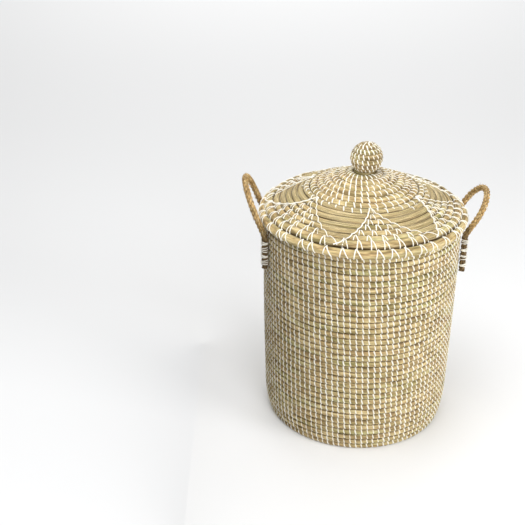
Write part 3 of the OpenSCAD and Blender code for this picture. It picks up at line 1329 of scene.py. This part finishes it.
    def locating(self) -> None:
        """Makes the two rows under the lid that sit inside the mouth."""
        low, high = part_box("lid_locating_coil")
        thick = self.half_thick
        count = 90
        made = []
        for i in range(2):
            made.append(
                Row(
                    radius=high[0] - thick,
                    height=low[2] + thick * (1 + 2 * i),
                    tilt=0.0,
                    half_width=thick,
                    half_thick=thick * 0.98,
                    stitches=np.arange(count) * TAU / count,
                    tone=0.3 + 0.3 * i,
                    slant=math.radians(9),
                )
            )
        piece = coil_piece("lid_locating_rows", made, Finish.COIL)
        settle(piece, "lid", "seagrass_coil", "lid_locating_coil")
        stitches = Stitches()
        for row in made:
            row.sew(stitches, self.thread_half, proud=0.4 * MM)
            row.sew(stitches, self.thread_half, inner=True, proud=0.4 * MM)
        self.place_threads("lid_locating_threads", stitches)

    def start(self) -> None:
        """Makes the tight rows under the knob where the lid's coil begins."""
        low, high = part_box("lid_start_coil")
        thick = (high[2] - low[2]) / 2
        made = []
        for i in range(3):
            made.append(
                Row(
                    radius=high[0] / 3 * (i + 0.5),
                    height=low[2] + thick,
                    tilt=math.pi / 2,
                    half_width=high[0] / 6 * 1.04,
                    half_thick=thick,
                    stitches=np.arange(6 * (i + 1)) * TAU / (6 * (i + 1)),
                    tone=0.2 * i,
                    step=1.6 * MM,
                )
            )
        settle(coil_piece("lid_start_rows", made, Finish.COIL), "lid", "seagrass_coil", "lid_start_coil")
        stitches = Stitches()
        for row in made:
            row.sew(stitches, self.thread_half * 0.8, inner=True, proud=0.3 * MM)
        self.place_threads("knob_anchor_threads", stitches, "knob_anchor_stitches")


@dataclass
class Knob:
    """The ball knob: coiled rows round a stuffed core, sewn in close columns."""

    stitcher: StitchMaker
    rows: int = 8
    lowest: float = math.radians(-64)
    highest: float = math.radians(80)
    columns: int = 19
    least_gap: float = 6.0 * MM
    thread_half: float = 1.25 * MM
    offset: float = 3.5 * MM
    seed: int = 5

    def build(self) -> None:
        """Builds and places the knob's pieces."""
        low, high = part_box("knob_coil")
        ball = high[0]
        centre = high[2] - ball
        step = (self.highest - self.lowest) / (self.rows - 1)
        thick = 4.4 * MM
        ring = ball - thick
        random = np.random.default_rng(self.seed)
        made = []
        for i in range(self.rows):
            rise = self.lowest + i * step
            narrow = 1 - 0.08 * max(0.0, -math.sin(rise))
            radius = ring * math.cos(rise) * narrow
            count = max(6, min(self.columns, round(TAU * radius / self.least_gap)))
            made.append(
                Row(
                    radius=radius,
                    height=centre + ring * math.sin(rise),
                    tilt=rise,
                    half_width=ring * step / 2 * 1.12,
                    half_thick=thick,
                    stitches=(np.arange(count) + 0.3) * TAU / count,
                    start=0.3 * i,
                    tone=float(random.random()),
                    slant=math.radians(18),
                    pinch=0.13,
                    grip=1.1 * MM,
                    step=2.0 * MM,
                    aside=self.offset * (0.4 + 0.6 * i / (self.rows - 1)),
                    # painted shade on the rows' edges and, at least, over the whole knob
                    gloom=0.8,
                    dusk=0.72,
                )
            )
        start_edge, _, start_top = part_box("lid_start_coil")[1]
        neck_half = 3.2 * MM
        neck_stitches = 18
        neck = Row(
            radius=start_edge * 0.72,
            height=start_top + 2.4 * MM,
            tilt=0.0,
            half_width=neck_half,
            half_thick=neck_half,
            stitches=np.arange(neck_stitches) * TAU / neck_stitches,
            tone=0.9,
            step=2.4 * MM,
            # painted shade on the neck, which lies under the ball
            dusk=0.78,
        )
        settle(coil_piece("knob_rows", made + [neck], Finish.COIL), "lid", "seagrass_coil", "knob_coil")
        stitches = Stitches()
        for row in made:
            row.sew(stitches, self.thread_half, proud=0.5 * MM)
        name = "knob_threads"
        piece = self.stitcher.make(name, stitches.guide(name), Finish.THREAD, Seed=self.seed)
        settle(piece, "lid", "white_thread", "knob_stitching")
        core = frame["nodes"]["knob_core"]
        for material_slot in core.material_slots:
            material_slot.material = Finish.COIL.material()


# ---------------------------------------------------------------- rope handles


class Side(Enum):
    """The basket's two sides, with the direction of each along X."""

    LEFT = -1
    RIGHT = 1


@dataclass
class RopeHandle:
    """A twisted rope loop whose two ends are lashed to the wall."""

    side: Side
    strander: StrandMaker
    lay: float = 25 * MM
    strands: int = 3
    yarns: int = 7
    step: float = 2.2 * MM
    bend_reach: float = 7 * MM
    lash_groups: int = 4
    lash_turns: int = 3
    thread: float = 0.75 * MM
    hairs: int = 110
    strand_size: float = 0.555
    strand_offset: float = 0.425
    yarn_size: float = 0.43
    yarn_offset: float = 0.62
    yarn_lay: float = 0.62

    def __post_init__(self) -> None:
        """Reads the handle's sizes from the frame."""
        self.word = self.side.name.lower()
        self.legs = {end: f"{self.word}_{end}_leg" for end in ("front", "rear")}
        low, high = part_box(self.legs["front"])
        self.radius = (high[0] - low[0]) / 2
        self.foot = low[2]
        joints = {joint["name"]: joint for joint in frame["record"]["behaviour"]["joints"]}
        self.hinge = Vector(joints[f"handle_{self.word}_swing"]["pos_m"])
        loop_low, loop_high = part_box(f"{self.word}_handle_loop")
        tip_x = (loop_high[0] if self.side is Side.RIGHT else -loop_low[0]) - self.radius
        tip_z = loop_high[2] - self.radius
        self.half_span = (high[1] + low[1]) / -2
        self.leg_x = (high[0] + low[0]) / 2
        self.lean = math.atan2(tip_x - abs(self.hinge.x), tip_z - self.hinge.z)
        self.rise = math.hypot(tip_x - abs(self.hinge.x), tip_z - self.hinge.z)
        self.random = np.random.default_rng(20 + self.side.value)

    def line(self) -> np.ndarray:
        """Centre line of the rope, from its front end over the loop to its rear end."""
        fine = 0.5 * MM
        straight = self.rise - self.half_span
        down = np.arange(self.foot, self.hinge.z, fine)
        up = np.arange(0.0, straight, fine)
        arc = np.linspace(0, math.pi, int(math.pi * self.half_span / fine))
        side = np.full(len(down) + len(up), -self.half_span)
        y = np.concatenate([side, -self.half_span * np.cos(arc)])
        lift = np.concatenate([0 * down, up, straight + self.half_span * np.sin(arc)])
        height = np.concatenate([down, self.hinge.z + lift[len(down) :] * math.cos(self.lean)])
        out = self.side.value * lift * math.sin(self.lean)
        x = self.leg_x + out
        front = np.stack([x, y, height], 1)
        back = front[: len(down) + len(up)][::-1] * np.array([1, -1, 1])
        points = np.concatenate([front, back])
        reach = int(self.bend_reach / fine)
        padded = np.concatenate([np.repeat(points[:1], reach, 0), points, np.repeat(points[-1:], reach, 0)])
        ramp = (np.arange(-reach, reach + 1) / reach)[:, None]
        padded[: reach] += (points[1] - points[0]) * np.arange(-reach, 0)[:, None]
        padded[-reach:] += (points[-1] - points[-2]) * np.arange(1, reach + 1)[:, None]
        weight = 1 - np.abs(ramp[:, 0]) * 0.999
        weight = weight / weight.sum()
        smooth = np.stack([np.convolve(padded[:, k], weight, "valid") for k in range(3)], 1)
        every = max(1, round(self.step / fine))
        return smooth[::every]

    def yarn_lines(self) -> Strands:
        """Yarns of the rope: three strands twisted one way, each of yarns twisted the other."""
        line = self.line()
        tangent = np.gradient(line, axis=0)
        tangent /= np.linalg.norm(tangent, axis=1)[:, None]
        sideways = np.cross(tangent, np.array([0.0, 1.0, 0.001]))
        first = self.transport(tangent, sideways[0])
        second = np.cross(tangent, first)
        length = np.concatenate([[0], np.cumsum(np.linalg.norm(np.diff(line, axis=0), axis=1))])
        near_end = np.minimum(length, length[-1] - length)
        fray = np.exp(-near_end / (5 * MM))
        thin = 1 - 0.45 * fray
        spread = 1 + 0.12 * fray
        # painted shade: the rope darkens below the loop, where it lies against the wall in the lashings
        dusk = np.interp(line[:, 2], (self.hinge.z - 6 * MM, self.hinge.z + 22 * MM), (0.93, 0.55))
        strand_radius = self.radius * self.strand_size
        yarn_ring = strand_radius * self.yarn_offset
        yarn_radius = strand_radius * self.yarn_size
        made = Strands()
        for s in range(self.strands):
            swing = TAU * (s / self.strands + length / self.lay)
            offset = self.radius * self.strand_offset * spread
            centre = self.around(line, first, second, swing, offset)
            for y in range(self.yarns):
                spin = TAU * (y / self.yarns - length / (self.lay * self.yarn_lay)) + s
                path = self.around(centre, first, second, spin, yarn_ring * spread)
                depth = np.linalg.norm(path - line, axis=1) / self.radius
                # painted shade on yarns sunk deep in the grooves between strands
                groove = np.interp(depth, (0.5, 0.8), (0.92, 0.0))
                made.add(path, yarn_radius * thin, float(self.random.random()), np.maximum(dusk, groove))
        self.fuzz(made, line, first, second)
        return made

    @staticmethod
    def around(
        line: np.ndarray, first: np.ndarray, second: np.ndarray, angle: np.ndarray, radius: np.ndarray
    ) -> np.ndarray:
        """Points round a line, at an angle and a distance for each, from its two side directions."""
        return line + (np.cos(angle) * radius)[:, None] * first + (np.sin(angle) * radius)[:, None] * second

    @staticmethod
    def transport(tangent: np.ndarray, start: np.ndarray) -> np.ndarray:
        """Carries a side direction along a line without twist."""
        sides = [start / np.linalg.norm(start)]
        for direction in tangent[1:]:
            side = sides[-1] - direction * np.dot(sides[-1], direction)
            sides.append(side / np.linalg.norm(side))
        return np.array(sides)

    def fuzz(self, made: Strands, line: np.ndarray, first: np.ndarray, second: np.ndarray) -> None:
        """Adds the short loose fibres that stand off the rope."""
        for _ in range(self.hairs):
            i = int(self.random.integers(8, len(line) - 14))
            angle = self.random.uniform(0, TAU)
            out = math.cos(angle) * first[i] + math.sin(angle) * second[i]
            along = line[i + 3] - line[i]
            along = along / np.linalg.norm(along) * self.random.choice([-1, 1])
            length = self.random.uniform(4, 9) * MM
            t = np.linspace(0, 1, 4)[:, None]
            stand = self.random.uniform(0.1, 0.4)
            path = line[i] + out * (self.radius * 0.95 + length * stand * t**1.6) + along * length * t
            made.add(path, 0.14 * MM, float(self.random.random()))

    def build(self) -> None:
        """Builds the rope and its lashings."""
        name = f"{self.word}_rope"
        rope = self.strander.make(name, self.yarn_lines().guide(name), Finish.ROPE, Sides=6)
        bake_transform(rope)
        label(rope, "twisted_rope", *self.legs.values(), f"{self.word}_handle_loop")
        for end in self.legs:
            self.lash(end)

    def lash(self, end: str) -> None:
        """Winds the white thread that ties one rope end to the wall."""
        low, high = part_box(self.legs[end])
        centre = np.array([(low[0] + high[0]) / 2, (low[1] + high[1]) / 2, 0.0])
        out = centre / np.linalg.norm(centre)
        across = np.array([-out[1], out[0], 0.0]) * (1 if end == "rear" else -1)
        node = f"{self.word}_{end}_lashing"
        lash_low, lash_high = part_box(node)
        step = (lash_high[2] - lash_low[2]) / (self.lash_groups - 0.35)
        made = Strands()
        for group in range(self.lash_groups):
            base = lash_low[2] + (group + 0.3) * step
            for turn in range(self.lash_turns):
                fan = (turn - (self.lash_turns - 1) / 2) * 2.7 * MM + self.random.normal(0, 0.4) * MM
                angle = np.radians(np.linspace(-128, 128, 17))
                reach = self.radius + self.thread * 0.9
                lean = np.linspace(0, 1, 17) if group % 2 else np.linspace(1, 0, 17)
                rise = fan * (0.3 + 1.5 * lean) + 2.0 * MM * lean
                path = (
                    centre
                    + out * (reach * np.cos(angle))[:, None]
                    + across * (reach * np.sin(angle))[:, None]
                    + np.array([0, 0, 1]) * (base + rise)[:, None]
                )
                made.add(path, self.thread, 0.5)
        piece = self.strander.make(node + "_threads", made.guide(node), Finish.THREAD, Sides=6)
        settle(piece, "basket", "white_thread", node)


# ---------------------------------------------------------------- studio


@dataclass
class Studio:
    """Pale floor, soft lights and the camera."""

    lens: float = 66.7
    eye: tuple = (-0.1813, -1.611, 1.1264)
    pitch: float = math.radians(27.14)
    floor: str = "ECECEC"

    def build(self) -> None:
        """Makes the camera, the floor and the lights."""
        camera = bpy.data.objects.new("camera", bpy.data.cameras.new("camera"))
        camera.data.lens = self.lens
        camera.data.sensor_width = 36.0
        camera.location = self.eye
        camera.rotation_euler = (math.pi / 2 - self.pitch, 0, 0)
        bpy.context.scene.collection.objects.link(camera)
        bpy.context.scene.camera = camera
        self.make_floor()
        self.light("key", (1.9, -1.3, 1.1), 1.0, 27)
        self.light("front", (0.7, -2.4, 1.6), 1.2, 29)
        self.light("top", (-0.5, -0.4, 2.4), 1.6, 31)
        self.light("backdrop", (0.0, 4.6, 3.2), 4.0, 118, (0.0, 4.2, 0.0))
        self.flag()
        world = bpy.data.worlds.new("studio")
        world.use_nodes = True
        background = world.node_tree.nodes["Background"]
        background.inputs["Color"].default_value = linear("F4F5F6")
        background.inputs["Strength"].default_value = 0.4
        bpy.context.scene.world = world
        bpy.context.scene.view_settings.view_transform = "Standard"

    def make_floor(self) -> None:
        """Lays the pale floor that fills the view."""
        side = 9.0
        mesh = bpy.data.meshes.new("floor")
        sink = -0.3 * MM
        corners = [(-side, -side, sink), (side, -side, sink), (side, side, sink), (-side, side, sink)]
        mesh.from_pydata(corners, [], [(0, 1, 2, 3)])
        material, shader = new_material("pale_floor", 0.9, 0.1)
        shader.inputs["Base Color"].default_value = linear(self.floor)
        mesh.materials.append(material)
        show(mesh, "floor")

    @staticmethod
    def flag() -> None:
        """Hangs a black card at the left that takes up stray bounce and is itself never seen."""
        mesh = bpy.data.meshes.new("flag")
        low = [(-0.31, -0.42, 0.0), (-0.31, 0.2, 0.0)]
        high = [(-0.33, 0.2, 0.34), (-0.33, -0.42, 0.34)]
        mesh.from_pydata(low + high, [], [(0, 1, 2, 3)])
        material, shader = new_material("black_card")
        shader.inputs["Base Color"].default_value = linear("101010")
        mesh.materials.append(material)
        card = show(mesh, "flag")
        card.visible_camera = False
        card.visible_shadow = False
        card.visible_glossy = False

    def light_the_lid(self) -> None:
        """Adds a light from the left that reaches the lid and its knob and not the shaded wall."""
        reached = bpy.data.collections.new("left_light_reach")
        endings = ("_row", "_rows", "_threads", "_strands", "_outline")
        for thing in bpy.context.scene.objects:
            if thing.name.startswith(("lid_", "knob_")) and thing.name.endswith(endings):
                reached.objects.link(thing)
        lamp = self.light("left", (-1.8, -0.4, 0.95), 0.7, 17, (0, 0, 0.45))
        lamp.light_linking.receiver_collection = reached

    @staticmethod
    def light(
        name: str, place: tuple, size: float, power: float, target: tuple = (0, 0, 0.25)
    ) -> bpy.types.Object:
        """Adds a square soft light.

        Args:
            name: the light's name.
            place: where it hangs.
            size: length of its side.
            power: its power in watts.
            target: the point that it faces.

        Returns:
            The light.
        """
        lamp = bpy.data.objects.new(name, bpy.data.lights.new(name, "AREA"))
        lamp.data.size = size
        lamp.data.energy = power
        lamp.location = place
        aim = Vector(target) - Vector(place)
        lamp.rotation_euler = aim.to_track_quat("-Z", "Y").to_euler()
        bpy.context.scene.collection.objects.link(lamp)
        return lamp


def main() -> None:
    """Builds the studio and every part of the basket in order."""
    logging.basicConfig(level=logging.INFO, format="%(message)s")
    studio = Studio()
    studio.build()
    stitcher = StitchMaker()
    strander = StrandMaker()
    BasketBody(stitcher).build()
    Lid(stitcher, strander).build()
    Knob(stitcher).build()
    for side in Side:
        RopeHandle(side, strander).build()
    studio.light_the_lid()


if __name__ == "__main__":
    main()
